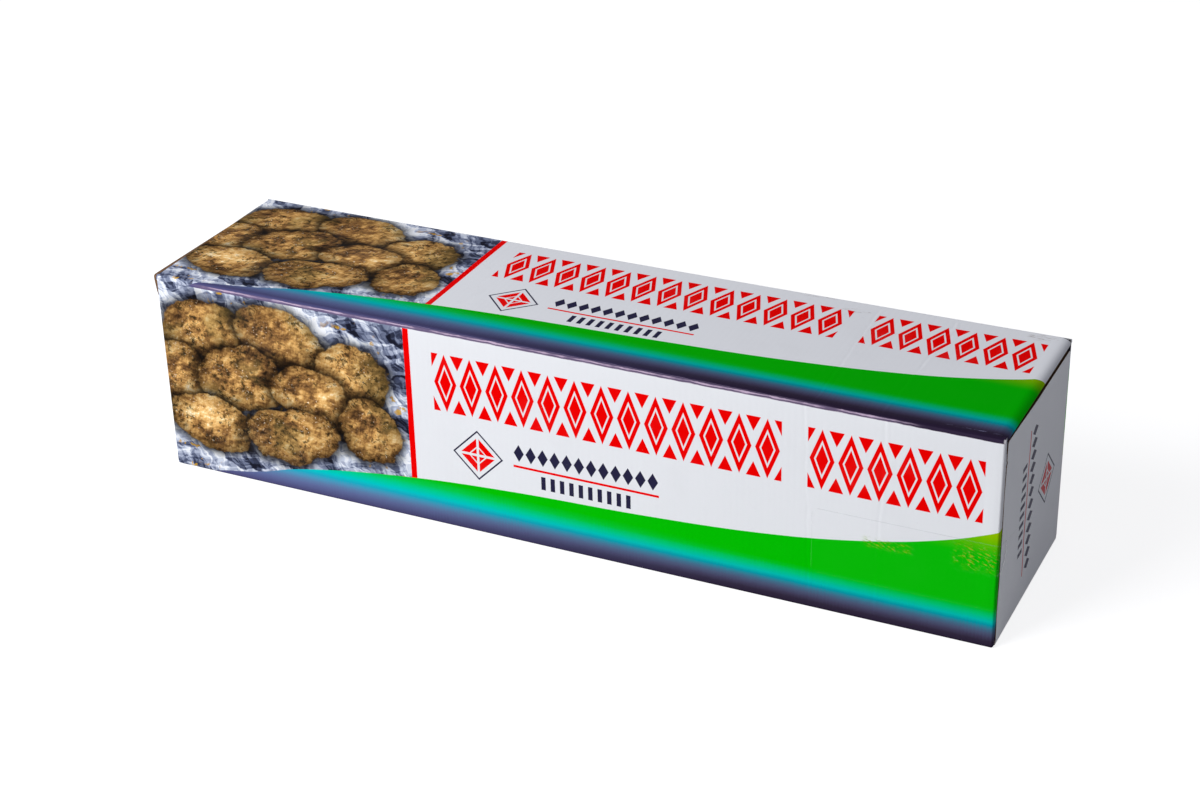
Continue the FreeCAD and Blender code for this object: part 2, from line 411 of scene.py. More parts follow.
def add_skin(skin, girth, x, inset, flat_x=None, paper=PRINTED):
    """One patch of the printed outside. flat_x is the place along the unfolded blank."""
    flat_x = x if flat_x is None else flat_x
    points = girth.outside(x, inset)
    low, high = girth.print_up()
    raw = (girth.raw[:-1] > 0) & (girth.raw[1:] > 0)
    for chosen, slot in ((~raw, paper), (raw, RAW_EDGE)):
        for start, end in stretches(chosen):
            rows = slice(start, end + 1)
            skin.grid(points[rows], flat_map(flat_x, low[start:end, None]),
                      flat_map(flat_x, high[start:end, None]), slot)


def stretches(chosen):
    """First and one-past-last index of each run of True."""
    edges = np.flatnonzero(np.diff(np.concatenate([[0], chosen.astype(int), [0]])))
    return list(zip(edges[::2], edges[1::2]))


def quarter(radius, steps=7):
    """Sine and one minus cosine, times the radius, for the steps of a quarter turn."""
    turn = np.linspace(0, math.pi / 2, steps)
    return radius * np.sin(turn), radius * (1 - np.cos(turn))


def cut_edge(skin, outer, inner, into, pitch=0.0, hollow=0.32, crushed=False):
    """A raw edge of the board between two lines: two liners, a hollow between them and, end on, the flutes.

    A crushed edge is closed and shows white paper.
    """
    if crushed:
        skin.grid(np.array([outer, inner]), np.full((2, len(outer), 2), WHITE_PLACE, float))
        return
    shares = np.array([0, 0.16, 0.16, 0.84, 0.84, 1])
    depths = np.array([0, 0, hollow, hollow, 0, 0])
    along = np.concatenate([[0], np.cumsum(np.linalg.norm(np.diff(outer, axis=0), axis=1))])

    def rows(lines, outer, inner, into, along):
        points = [outer * (1 - t)[:, None] + inner * t[:, None] + into * d for t, d in lines]
        maps = [np.stack([along, t * min(1.0, hollow / 0.3)], 1) for t, d in lines]
        skin.grid(np.array(points), np.array(maps), slot=RAW_EDGE)

    plain = [(np.full(len(outer), t), d) for t, d in zip(shares, depths)]
    rows(plain, outer, inner, into, along)
    if not pitch:
        return
    fine = np.linspace(0, along[-1], max(2, int(along[-1] / pitch * 12)))
    outer, inner, into = (np.stack([np.interp(fine, along, line[:, k]) for k in range(3)], 1)
                          for line in (outer, inner, into))
    wave = 0.5 + 0.29 * np.sin(2 * math.pi * fine / pitch)
    rows([(wave - 0.07, hollow), (wave - 0.07, 0.03), (wave + 0.07, 0.03), (wave + 0.07, hollow)],
         outer, inner, into, fine)


def end_of_shell(girth, sizes, side_step, roll, slit, overhang, paper):
    """The right-hand end of the carton without its outer flap: side folds, rolled top and cut corners."""
    skin = Surface()
    side_face = girth.half - side_step
    side_folds(skin, girth, sizes, side_face, paper)
    start = girth.half - END_START
    bottom = girth.between(girth.folds[2] + sizes.flap_margin, girth.folds[3] - sizes.flap_margin)
    add_skin(skin, bottom, np.array([start, start + 1, girth.half - sizes.bottom_fold]), 0, paper=paper)
    rolled_top(skin, girth, sizes, roll, slit, overhang, paper)
    return skin


def side_folds(skin, girth, sizes, side_face, paper):
    """The front and back panels' folds to their side flaps, with the cut edges at their tops."""
    start, folds, board = girth.half - END_START, girth.folds, sizes.board
    sweep, rise = quarter(sizes.side_fold)
    centre = side_face - sizes.side_fold
    x = np.concatenate([[start, start + 1.2], centre + sweep, [side_face] * 2])
    inset = np.concatenate([[0, 0], rise, [2.0, 3.0]])
    unfolded = np.concatenate([x[:2], x[2] + math.pi / 2 * np.linspace(0, sizes.side_fold, len(sweep))])
    unfolded = np.concatenate([unfolded, unfolded[-1] + np.array([0.6, 1.6])])
    for low, high in ((folds[1] + sizes.relief, folds[2] + sizes.flap_margin),
                      (folds[3] - sizes.flap_margin, folds[4] - sizes.relief)):
        side = girth.between(low, high)
        depth = np.broadcast_to(inset, (len(side.s), len(inset))).copy()
        by_slot = side.z > girth.height - sizes.slit_depth - 1e-6
        depth[by_slot] = np.minimum(depth[by_slot], sizes.flap_margin - sizes.slot)
        add_skin(skin, side, np.broadcast_to(x, depth.shape), depth, unfolded, paper)
    inner_sweep = quarter(max(sizes.side_fold - board, 0.05))[0]
    for place in (folds[1] + sizes.relief, folds[4] - sizes.relief):
        station = girth.between(place, place)
        outer = station.outside(np.append(centre + sweep, side_face), np.append(rise, 2.0))[0]
        inner_x = np.append(centre + inner_sweep, side_face - board)
        inner = station.outside(inner_x, np.append(sizes.side_fold - inner_sweep[::-1], 2.0))[0]
        if station.ny[0] > 0:
            outer, inner = outer[::-1], inner[::-1]
        cut_edge(skin, outer, inner, np.broadcast_to((0, 0, -1.0), outer.shape), sizes.flute_pitch)


def rolled_top(skin, girth, sizes, roll, slit, overhang, paper):
    """The top panel's rolled end over the inner flap, and the ends of the long folds beside it."""
    start, folds, board = girth.half - END_START, girth.folds, sizes.board
    roll_face = girth.half - board - slit
    top = girth.between(folds[0] + sizes.long_fold, folds[1] - sizes.long_fold)
    sweep, drop = quarter(roll)
    x = np.concatenate([[start], roll_face - roll + sweep, [roll_face] * 3])
    drop = np.concatenate([[0], drop, [roll + 0.4, roll + 1.4, sizes.slit_depth]])
    bulge = overhang * np.concatenate([[0], sweep / roll, [0.55, 0, 0]])
    unfolded = np.concatenate([[start], x[1] + math.pi / 2 * np.linspace(0, roll, len(sweep))])
    unfolded = np.concatenate([unfolded, unfolded[-1] + drop[-3:] - roll])
    add_skin(skin, top, x + bulge, drop, unfolded, paper)

    inner_sweep, inner_drop = quarter(max(roll - board, 0.05))
    inner_x = np.concatenate([roll_face - roll + inner_sweep, [roll_face - board] * 3])
    inner_x = np.minimum(inner_x, roll_face - board)
    inner_drop = np.concatenate([board + inner_drop, drop[-3:]])
    for row, sideways in ((0, -1.0), (-1, 1.0)):
        station = top.between(top.s[row], top.s[row])
        outer = station.outside(x[1:] + bulge[1:], drop[1:])[0]
        inner = outer.copy()
        inner[:, 0] = inner_x + bulge[1:]
        inner[:, 2] = girth.height - inner_drop
        if sideways > 0:
            outer, inner = outer[::-1], inner[::-1]
        cut_edge(skin, outer, inner, np.broadcast_to((0, sideways, 0), outer.shape))

    end = roll_face + overhang
    for low, high in ((folds[1] - sizes.long_fold, folds[1] + sizes.relief),
                      (folds[4] - sizes.relief, folds[4] + sizes.long_fold)):
        corner = girth.between(low, high)
        add_skin(skin, corner, np.array([start, (start + end) / 2, end]), 0, paper=paper)
        outer = corner.outside(end, 0)[:, 0]
        inner = corner.outside(end, board)[:, 0]
        cut_edge(skin, outer[::-1], inner[::-1], np.broadcast_to((-1.0, 0, 0), outer.shape),
                 sizes.flute_pitch, crushed=overhang > 0)


def lining(girth, sizes):
    """The board's inner face, a closed box that shows only through the slits and cut corners."""
    inner = sizes.board + 0.06
    reach = girth.half - 2
    y0, y1, z0, z1 = girth.front + inner, girth.back - inner, inner, girth.height - inner
    outline = np.array([(y1, z1), (y0, z1), (y0, z0), (y1, z0), (y1, z1)])
    x = np.linspace(-reach, reach, 9)
    box = Surface()
    around = [np.repeat(outline[:, k:k + 1], 9, 1) for k in (0, 1)]
    walls = np.stack([np.broadcast_to(x, (5, 9)), *around], -1)
    box.grid(walls, flat_map(x, outline[:, 1:]), slot=LINING)
    for end in (-reach, reach):
        y, z = np.meshgrid([y0, 0, y1], [z0, girth.height / 2, z1])
        box.grid(np.stack([np.full(y.shape, end), y, z], -1), flat_map(y, z), slot=LINING, flip=end > 0)
    return box


def carton_shell(sizes, print_sizes, materials):
    """The four long panels with their folds and both ends up to the outer flaps."""
    girth = Girth(sizes, print_sizes)
    skin = Surface()
    seam = (print_sizes.bar_left + print_sizes.bar_right) / 2
    add_skin(skin, girth, body_columns(END_START - girth.half, seam), 0, paper=PICTURE)
    add_skin(skin, girth, body_columns(seam, girth.half - END_START), 0)
    skin.take(end_of_shell(girth, sizes, sizes.right_step, sizes.right_roll, sizes.right_slit,
                           sizes.right_overhang, PRINTED))
    left = end_of_shell(girth, sizes, sizes.left_step, sizes.left_roll, 0.0, 0.0, PICTURE)
    left.mirror()
    skin.take(left)
    skin.take(lining(girth, sizes))
    return skin.build("carton_shell", materials)


def flap_top(y, sizes, front_drop, back_drop, bend):
    """Height of an end flap's cut top edge at each place across it, with its rounded corners."""
    _, front, back, height = carton_limits()
    start, stop = front + sizes.flap_margin, back - sizes.flap_margin
    top = height - np.interp(y, [start, front + bend], [front_drop, back_drop])
    for radius, distance in zip(FLAP_CORNERS, (y - start, stop - y)):
        inside = np.clip(radius - distance, 0, radius)
        top = top - (radius - np.sqrt(radius ** 2 - inside ** 2))
    return top


def end_flap(name, sizes, materials, top_of, corner_reach, mirrored):
    """An outer end flap: a sheet of board that folds up from the bottom panel, with its raw edges."""
    half, front, back, height = carton_limits()
    board, r = sizes.board, sizes.bottom_fold
    start, stop = front + sizes.flap_margin, back - sizes.flap_margin
    near = np.concatenate([2.5 * (1 - np.cos(np.linspace(0, math.pi / 2, 9))), [3.5]])
    y = np.concatenate([start + near, np.linspace(start + 4.5, stop - 4.5, 62), stop - near[::-1]])
    top = top_of(y)
    sweep, rise = quarter(r, 8)
    heights = np.concatenate([np.linspace(r, sizes.notch_height - 3, 58)[1:],
                              np.arange(sizes.notch_height - 2.8, sizes.notch_height + 2.8, 0.28),
                              np.linspace(sizes.notch_height + 3, height, 10)])
    share = (heights - r) / (height - r)
    z = np.concatenate([np.repeat(rise[:, None], len(y), 1), r + share[:, None] * (top - r)])
    x = np.concatenate([half - r + sweep, np.full(len(heights), half)])[:, None] + 0 * z
    normal_x = np.concatenate([np.sin(np.linspace(0, math.pi / 2, 8)), np.ones(len(heights))])[:, None]
    normal_z = -np.sqrt(np.maximum(0, 1 - normal_x ** 2))
    across = np.broadcast_to(y, z.shape).copy()
    if corner_reach:
        rising = np.clip((z - height + LEFT_CORNER_HEIGHT) / LEFT_CORNER_HEIGHT, 0, 1) ** 0.6
        across = across - corner_reach * rising * (1 - smooth_step(y - start, 0, 8))
    else:
        bite = sizes.notch * np.clip(1 - np.abs(z - sizes.notch_height) / (sizes.notch / 2), 0, 1)
        across = np.maximum(across, start + bite * (0.8 + 0.2 * ripple(z, (0.7, 0.4), 8)))
    u, v = (across - start) / (stop - start), z / height
    bow = np.sin(math.pi * u.clip(0, 1)) * np.sin(math.pi * v.clip(0, 1))
    wavy = smooth_step(z, 2, 12) * smooth_step(height - z, 3, 9)
    bow = 0.25 * bow + 0.05 * (1.5 + ripple(z + across, (37, 21), 9)) * wavy
    outer = np.stack([x - bow * normal_x, across, z], -1)
    inner = outer - board * np.stack([normal_x + 0 * z, 0 * z, normal_z + 0 * z], -1)
    skin = Surface()
    skin.grid(outer, flat_map(across, z), flip=True)
    skin.grid(inner, flat_map(across, z), slot=LINING)

    def rim(line_outer, line_inner, into, pitch, hollow):
        cut_edge(skin, line_outer, line_inner, np.broadcast_to(into, line_outer.shape), pitch, hollow)

    pitch, side_hollow, top_hollow = (0.0, 0.06, 0.06) if corner_reach else (sizes.flute_pitch, 0.32, 1.1)
    rim(outer[:, 0][::-1], inner[:, 0][::-1], (0, 1.0, 0), pitch, side_hollow)
    rim(outer[:, -1], inner[:, -1], (0, -1.0, 0), pitch, side_hollow)
    rim(outer[-1][::-1], inner[-1][::-1], (0, 0, -1.0), 0.0, top_hollow)
    if mirrored:
        skin.mirror()
    return skin.build(name, materials)


def tape_line(sizes):
    """The tape's line from above, as x and y pairs: along the front and round the corner to the flap."""
    half, front, _, _ = carton_limits()
    lift = 0.045
    r = sizes.side_fold
    centre_x, centre_y = half - sizes.right_step - r, front + r
    flap_y = front + sizes.flap_margin
    on_front = np.arange(TAPE_LOW.x / MM, centre_x, 0.6)
    turns = np.linspace(-math.pi / 2, -0.07, 9)
    fold = np.stack([centre_x + (r + lift) * np.cos(turns), centre_y + (r + lift) * np.sin(turns)], 1)
    flap = np.arange(flap_y, TAPE_HIGH.y / MM, 0.6)
    line = [np.stack([on_front, 0 * on_front + front - lift], 1), fold,
            np.stack([0 * flap + half + lift, flap], 1)]
    return np.concatenate(line)


def tape_film(sizes, material):
    """Thin clear film, level on the front panel and running down a little on the end flap."""
    line = tape_line(sizes)
    along = np.concatenate([[0], np.cumsum(np.linalg.norm(np.diff(line, axis=0), axis=1))])
    corner = along[np.argmax(line[:, 0] > line[:, 0].max() - 0.9)]
    top = TAPE_HIGH.z / MM
    width = sizes.tape_width
    drop = np.maximum(0, along - corner) * math.tan(math.radians(12))
    across = close_at_ends(width, 0.3, 0.6, 1.5)
    left_round = 2.5
    inside = np.clip(left_round - np.minimum(across, width - across), 0, left_round)
    cut_in = left_round - np.sqrt(left_round ** 2 - inside ** 2)
    place = cut_in[:, None] + along * (1 - cut_in[:, None] / along[-1])
    x, y = (np.interp(place, along, line[:, k]) for k in (0, 1))
    z = top - across[:, None] - np.interp(place, along, drop)
    film = Surface()
    film.grid(np.stack([x, y, z], -1), flat_map(place, across[:, None] + 0 * place))
    return film.build("clear_tape_film", [material])


# Materials


class Field:
    """A number that changes over the surface. Sums and products of fields become Math nodes."""

    def __init__(self, socket):
        self.socket = socket

    @property
    def tree(self):
        return self.socket.id_data

    def math(self, operation, *others):
        node = self.tree.nodes.new("ShaderNodeMath")
        node.operation = operation
        for slot, value in zip(node.inputs, (self, *others)):
            feed(slot, value)
        return Field(node.outputs[0])

    def __add__(self, other):
        return self.math("ADD", other)

    __radd__ = __add__

    def __mul__(self, other):
        return self.math("MULTIPLY", other)

    __rmul__ = __mul__

    def __sub__(self, other):
        return self.math("SUBTRACT", other)

    def __rsub__(self, other):
        return (self * -1.0) + other

    def __truediv__(self, other):
        return self.math("DIVIDE", other)

    def __mod__(self, other):
        return self.math("FLOORED_MODULO", other)

    def __abs__(self):
        return self.math("ABSOLUTE")

    def __pow__(self, other):
        return self.math("POWER", other)

    def least(self, other):
        return self.math("MINIMUM", other)

    def most(self, other):
        return self.math("MAXIMUM", other)

    def rise(self, low, high):
        """0 below low, 1 above high and smooth between."""
        node = self.tree.nodes.new("ShaderNodeMapRange")
        node.interpolation_type = "SMOOTHSTEP"
        for name, value in (("Value", self), ("From Min", low), ("From Max", high)):
            feed(node.inputs[name], value)
        return Field(node.outputs["Result"])

    def within(self, low, high, soft=0.08):
        """1 between low and high, with soft edges."""
        return self.rise(low - soft, low + soft) * (1.0 - self.rise(high - soft, high + soft))


def feed(slot, value):
    """Links a field or socket to an input, or sets the input to a plain value."""
    if isinstance(value, Field):
        value = value.socket
    if isinstance(value, bpy.types.NodeSocket):
        slot.id_data.links.new(value, slot)
    elif hasattr(value, "__len__") and slot.type == "RGBA":
        slot.default_value = (*tuple(value)[:3], 1.0)
    else:
        slot.default_value = value


def add_node(tree, kind, settings=None, **inputs):
    """A new node, with its settings and named inputs."""
    node = tree.nodes.new("ShaderNode" + kind)
    for name, value in (settings or {}).items():
        setattr(node, name, value)
    for name, value in inputs.items():
        feed(node.inputs[name.replace("_", " ")], value)
    return node


def blend(mask, under, over):
    """One colour laid over another where the mask is 1."""
    node = add_node(mask.tree, "Mix", {"data_type": "RGBA"}, Factor=mask)
    feed(node.inputs[MIX_UNDER], under)
    feed(node.inputs[MIX_OVER], over)
    return node.outputs[MIX_RESULT]


def ramp(value, stops):
    """A colour picked from stops, each a place and a colour."""
    node = add_node(value.tree, "ValToRGB", Fac=value)
    band = node.color_ramp
    while len(band.elements) < len(stops):
        band.elements.new(0.5)
    for element, (place, shade) in zip(band.elements, stops):
        element.position = place
        element.color = (*tuple(shade)[:3], 1.0)
    return node.outputs["Color"]


def point(x, y, z=0.0):
    """A vector made of fields."""
    node = add_node(x.tree, "CombineXYZ", X=x, Y=y, Z=z)
    return node.outputs["Vector"]


def noise(vector, size, detail=3.0, rough=0.55, distortion=0.0):
    """Soft noise from 0 to 1, with lumps of about the given size."""
    node = add_node(vector.id_data, "TexNoise", Vector=vector, Scale=1.0 / size, Detail=detail,
                    Roughness=rough, Distortion=distortion)
    return Field(node.outputs["Fac"])


def node_group(name, inputs, outputs, fill):
    """The node group of that name, made once. fill turns the inputs by name into the outputs by name."""
    tree = bpy.data.node_groups.get(name)
    if tree:
        return tree
    kinds = {"value": "NodeSocketFloat", "colour": "NodeSocketColor", "vector": "NodeSocketVector"}
    tree = bpy.data.node_groups.new(name, "ShaderNodeTree")
    for label, kind in inputs.items():
        tree.interface.new_socket(name=label, in_out="INPUT", socket_type=kinds[kind])
    for label, kind in outputs.items():
        tree.interface.new_socket(name=label, in_out="OUTPUT", socket_type=kinds[kind])
    entry, leave = tree.nodes.new("NodeGroupInput"), tree.nodes.new("NodeGroupOutput")
    given = {label: Field(entry.outputs[label]) if kind == "value" else entry.outputs[label]
             for label, kind in inputs.items()}
    for label, value in fill(given).items():
        feed(leave.inputs[label], value)
    return tree


def use_group(tree, group, **inputs):
    """A node group placed in a tree, with its named inputs."""
    node = tree.nodes.new("ShaderNodeGroup")
    node.node_tree = group
    for name, value in inputs.items():
        feed(node.inputs[name.replace("_", " ")], value)
    return node.outputs


def badge_group(sizes):
    """Masks of the badge and the two rows of small marks, from a place measured from the badge's rule."""

    def fill(given):
        x, v = given["Across"], given["Up"]
        bx, bv = abs(x - given["Badge across"]), abs(v - given["Badge up"])
        reach = bx + bv
        ring = reach.within(sizes.badge_reach - 0.8, sizes.badge_reach, 0.1)
        tiles = reach.rise(6.9, 6.75) * bx.rise(0.4, 0.5) * bv.rise(0.4, 0.5)
        tiles = tiles * (1.0 - reach.within(3.1, 3.7, 0.06))
        upper = v - (sizes.rule_v + 5.2)
        mark = ((x - sizes.row_middle + 27.0) % 4.5) - 2.25
        upper = (1.0 - abs(mark) / 1.95 - abs(upper) / 3.3).rise(-0.03, 0.06)
        from_middle = abs(x - sizes.row_middle)
        upper = upper * from_middle.rise(27.0, 26.9)
        lower = v.within(sizes.rule_v - 7.0, sizes.rule_v - 2.0) * from_middle.rise(17.5, 17.4)
        mark = ((x - sizes.row_middle + 17.5) % 3.5) - 1.75
        lower = lower * abs(mark).rise(0.9, 0.76)
        rule = v.within(sizes.rule_v - 0.44, sizes.rule_v + 0.44) * from_middle.rise(27.0, 26.9)
        return {"Navy": ring.most(upper).most(lower), "Red": tiles.most(rule)}

    inputs = {"Across": "value", "Up": "value", "Badge across": "value", "Badge up": "value"}
    return node_group("Badge and rows", inputs, {"Navy": "value", "Red": "value"}, fill)


def wear_group():
    """Handling marks: faint grey smudges and small specks, and a slightly uneven roughness."""

    def fill(given):
        place = given["Place"]
        broad = noise(place, 26.0, 4.0).rise(0.5, 0.78)
        small = noise(place, 3.4, 5.0, 0.7).rise(0.55, 0.8)
        smudge = broad * 0.5 + small * 0.5
        specks = noise(place, 0.9, 2.0).rise(0.735, 0.78) * noise(place, 11.0, 2.0).rise(0.5, 0.66)
        grime = smudge * given["Amount"] * 0.16 + specks * given["Amount"] * 0.5
        shade = blend(grime.least(1.0), given["Colour"], screen_colour(150, 147, 150))
        rough = noise(place, 6.0, 3.0) * 0.16 + 0.34
        return {"Colour": shade, "Roughness": rough}

    return node_group("Handling wear", {"Place": "vector", "Colour": "colour", "Amount": "value"},
                      {"Colour": "colour", "Roughness": "value"}, fill)


def flute_group(sizes):
    """Height of the board's face: the flutes that print through, and the paper's own fine grain."""

    def fill(given):
        wave = (given["Across"] * (2 * math.pi / sizes.flute_pitch)).math("SINE")
        uneven = noise(given["Place"], 9.0, 2.0)
        grain = noise(given["Place"], 0.35, 3.0)
        return {"Height": wave * uneven * 0.6 + grain * 0.25}

    return node_group("Board flutes", {"Across": "value", "Place": "vector"}, {"Height": "value"}, fill)


def baked_group():
    """One baked piece of the picture field: a rounded, domed shape with a browned skin."""

    def fill(given):
        turn = given["Turn"]
        dx, dv = given["Across"] - given["Middle across"], given["Up"] - given["Middle up"]
        cos, sin = turn.math("COSINE"), turn.math("SINE")
        a = (dx * cos + dv * sin) / given["Half length"]
        b = (dv * cos - dx * sin) / given["Half width"]
        place = point(given["Across"], given["Up"], given["Middle across"])
        ragged = (noise(place, 9.0, 4.0, 0.5) - 0.5) * 0.6
        reach = (a * a + b * b) ** 0.5 + ragged
        mask = 1.0 - reach.rise(0.96, 1.02)
        shade = 1.3 - (reach ** 2.4) * 0.86 + (dv / given["Half width"]) * 0.2
        shadow = 1.0 - reach.rise(0.95, 1.36)
        return {"Mask": mask, "Shade": shade, "Shadow": shadow}

    labels = ["Across", "Up", "Middle across", "Middle up", "Half length", "Half width", "Turn"]
    inputs = dict.fromkeys(labels, "value")
    return node_group("Baked piece", inputs, {"Mask": "value", "Shade": "value", "Shadow": "value"}, fill)


def foil_group():
    """Height of crumpled foil at a place: flat-sided cells of three sizes."""

    def fill(given):
        tree = given["Place"].id_data
        height = 0.0
        for size, share in ((19.0, 0.42), (8.0, 0.34), (3.0, 0.24)):
            node = add_node(tree, "TexVoronoi", {"distance": "MANHATTAN"}, Vector=given["Place"],
                            Scale=1 / size)
            height = Field(node.outputs["Distance"]) * (size * share) + height
        return {"Height": height}

    return node_group("Crumpled foil", {"Place": "vector"}, {"Height": "value"}, fill)


def foil_colour(x, v):
    """Crumpled foil as printed: facets turned to and from the light, with golden glints."""
    tree = x.tree
    place = point(x * 0.8 + v * 0.35, v - x * 0.3)
    bend = add_node(tree, "TexNoise", Vector=place, Scale=1 / 9.0, Detail=3.0).outputs["Color"]
    bent = add_node(tree, "VectorMath", {"operation": "MULTIPLY_ADD"})
    for slot, value in zip(bent.inputs, (bend, (8.0, 8.0, 0.0), place)):
        feed(slot, value)
    aside = add_node(tree, "VectorMath", {"operation": "ADD"})
    feed(aside.inputs[0], bent.outputs["Vector"])
    feed(aside.inputs[1], (0.3, 0.22, 0.0))
    here, beside = (Field(use_group(tree, foil_group(), Place=node.outputs["Vector"])["Height"])
                    for node in (bent, aside))
    tone = (beside - here) * 1.05 + 0.5 + (noise(place, 17.0, 2.0) - 0.5) * 0.7
    silver = ramp(tone, [(0.06, screen_colour(26, 28, 42)), (0.24, screen_colour(66, 73, 98)),
                         (0.42, screen_colour(118, 127, 153)), (0.58, screen_colour(166, 174, 196)),
                         (0.74, screen_colour(204, 212, 228)), (0.9, screen_colour(242, 245, 250))])
    glints = noise(point(x, v), 4.0, 3.0).rise(0.6, 0.64) * noise(point(x, v), 30.0, 1.0).rise(0.5, 0.54)
    return blend(glints * 0.85, silver, screen_colour(206, 158, 40))


# Middle, half sizes and turn of the baked pieces, in millimetres and degrees, the lower ones on top
BAKED = ((-136, 57, 18, 13, 10), (-104, 60, 18, 12, -14), (-77, 50, 15, 13, 14), (-149, 38, 14, 13, -10),
         (-122, 41, 19, 13, 8), (-93, 39, 17, 12, -8), (-70, 31, 12, 13, 12), (-137, 21, 18, 11, -6),
         (-103, 22, 20, 11, 10))


def skin_group():
    """Height of the baked skin at a place: soft lumps and fine crust."""

    def fill(given):
        lumps = noise(given["Place"], 11.0, 2.0, 0.5) * 3.0
        crust = noise(given["Place"], 3.2, 4.0, 0.6)
        return {"Height": lumps + crust}

    return node_group("Baked skin", {"Place": "vector"}, {"Height": "value"}, fill)


def baked_skin(x, v, colours):
    """Browned skin of the baked pieces: golden and cream, with dark crust, herbs and moist glints."""
    tree = x.tree
    place = point(x, v, 3.0)
    here = Field(use_group(tree, skin_group(), Place=place)["Height"])
    beside = Field(use_group(tree, skin_group(), Place=point(x + 0.3, v - 0.55, 3.0))["Height"])
    relief = (here - beside) * 1.1
    tone = noise(place, 20.0, 3.0) * 0.55 + noise(place, 5.0, 5.0, 0.66, 0.3) * 0.45
    skin = ramp((tone - 0.5) * 2.3 + relief + 0.5,
                [(0.0, screen_colour(38, 26, 16)), (0.22, colours.crust),
                 (0.42, screen_colour(146, 106, 60)), (0.62, colours.golden),
                 (0.82, screen_colour(230, 196, 136)), (1.0, screen_colour(250, 236, 208))])
    skin = blend(noise(place, 15.0, 2.0).rise(0.48, 0.66) * 0.45, skin, screen_colour(98, 90, 50))
    burnt = noise(place, 5.0, 6.0, 0.75, 0.8).rise(0.54, 0.62) * noise(place, 18.0, 2.0).rise(0.42, 0.58)
    skin = blend(burnt * 0.8, skin, screen_colour(34, 25, 16))
    herbs = noise(place, 1.7, 4.0, 0.65).rise(0.53, 0.59) * noise(place, 8.0, 3.0).rise(0.4, 0.56)
    skin = blend(herbs * 0.8, skin, screen_colour(34, 32, 20))
    moist = noise(place, 0.8, 3.0, 0.7).rise(0.62, 0.68) * noise(place, 6.0, 2.0).rise(0.45, 0.6)
    return blend(moist * 0.7, skin, screen_colour(255, 244, 220))


def picture_colour(x, v, colours):
    """The picture field: plain baked pieces lying on crumpled foil."""
    tree = x.tree
    picture = foil_colour(x, v)
    skin = baked_skin(x, v, colours)
    group = baked_group()
    for middle_x, middle_v, long, wide, turn in BAKED:
        piece = use_group(tree, group, Across=x, Up=v, Middle_across=middle_x, Middle_up=middle_v,
                          Half_length=long, Half_width=wide, Turn=math.radians(turn))
        dark = blend(Field(piece["Shadow"]) * 0.92, picture, screen_colour(18, 14, 12))
        lit = add_node(tree, "VectorMath", {"operation": "SCALE"})
        feed(lit.inputs[0], skin)
        feed(lit.inputs["Scale"], piece["Shade"])
        picture = blend(Field(piece["Mask"]), dark, lit.outputs["Vector"])
    return picture


# Height of the stripe's curved upper edge at places along the panel, in millimetres, and the curve's range
STRIPE_EDGE = ((-155, -4), (-143, -3), (-136, 1.0), (-120, 4), (-100, 9.4), (-60, 15.6),
               (-15, 19.2), (35, 21.3), (80, 24.8), (110, 29.5), (135, 35.6), (155, 43.3))
STRIPE_LOW, STRIPE_TALL = -5.0, 55.0


def stripe_edge(x, v):
    """Height of the stripe's upper edge at x, a little rough as print is."""
    low, high = STRIPE_EDGE[0][0], STRIPE_EDGE[-1][0]
    node = add_node(x.tree, "FloatCurve", Value=(x - low) / (high - low))
    curve = node.mapping.curves[0]
    while len(curve.points) < len(STRIPE_EDGE):
        curve.points.new(0.5, 0.5)
    for spot, (place, up) in zip(curve.points, STRIPE_EDGE):
        spot.location = ((place - low) / (high - low), (up - STRIPE_LOW) / STRIPE_TALL)
    node.mapping.update()
    rough = (noise(point(x, v), 0.5, 2.0) - 0.5) * 0.12
    return Field(node.outputs["Value"]) * STRIPE_TALL + STRIPE_LOW + rough


def stripe_colour(x, v, colours):
    """The stripe: dusk at the fold through slate, teal and turquoise to green, darker to the right."""
    uneven = (noise(point(x, v), 2.5, 3.0) - 0.5) * 0.5
    hatch = (x * (2 * math.pi / 1.2)).math("SINE") * noise(point(x, v), 18.0, 1.0).rise(0.4, 0.7) * 0.12
    up = (v + uneven + hatch) / 20.0
    left = ramp(up, [(0.07, screen_colour(80, 80, 124)), (0.2, screen_colour(96, 108, 155)),
                     (0.28, screen_colour(95, 127, 170)), (0.35, screen_colour(78, 151, 189)),
                     (0.43, screen_colour(30, 170, 196)), (0.51, screen_colour(2, 198, 200)),
                     (0.61, screen_colour(1, 206, 160)), (0.71, screen_colour(8, 204, 92)),
                     (0.84, colours.green)])
    right = ramp(up, [(0.0, colours.dusk), (0.13, screen_colour(52, 43, 64)),
                      (0.2, screen_colour(68, 63, 90)), (0.28, colours.slate),
                      (0.35, screen_colour(68, 112, 140)), (0.43, colours.teal),
                      (0.5, colours.turquoise), (0.6, screen_colour(2, 200, 124)),
                      (0.7, screen_colour(2, 196, 40)), (0.77, colours.green)])
    shade = blend(x.rise(-125.0, 85.0), left, right)
    lime = v.rise(33.0, 46.0) * x.rise(110.0, 156.0)
    return blend(lime, shade, colours.lime)


def stripe_group(colours):
    """The coloured stripe that lies along a fold: its colour and the height of its curved upper edge."""

    def fill(given):
        x, v = given["Across"], given["Up"]
        return {"Colour": stripe_colour(x, v, colours), "Edge": stripe_edge(x, v)}

    inputs = {"Across": "value", "Up": "value"}
    return node_group("Stripe", inputs, {"Colour": "colour", "Edge": "value"}, fill)


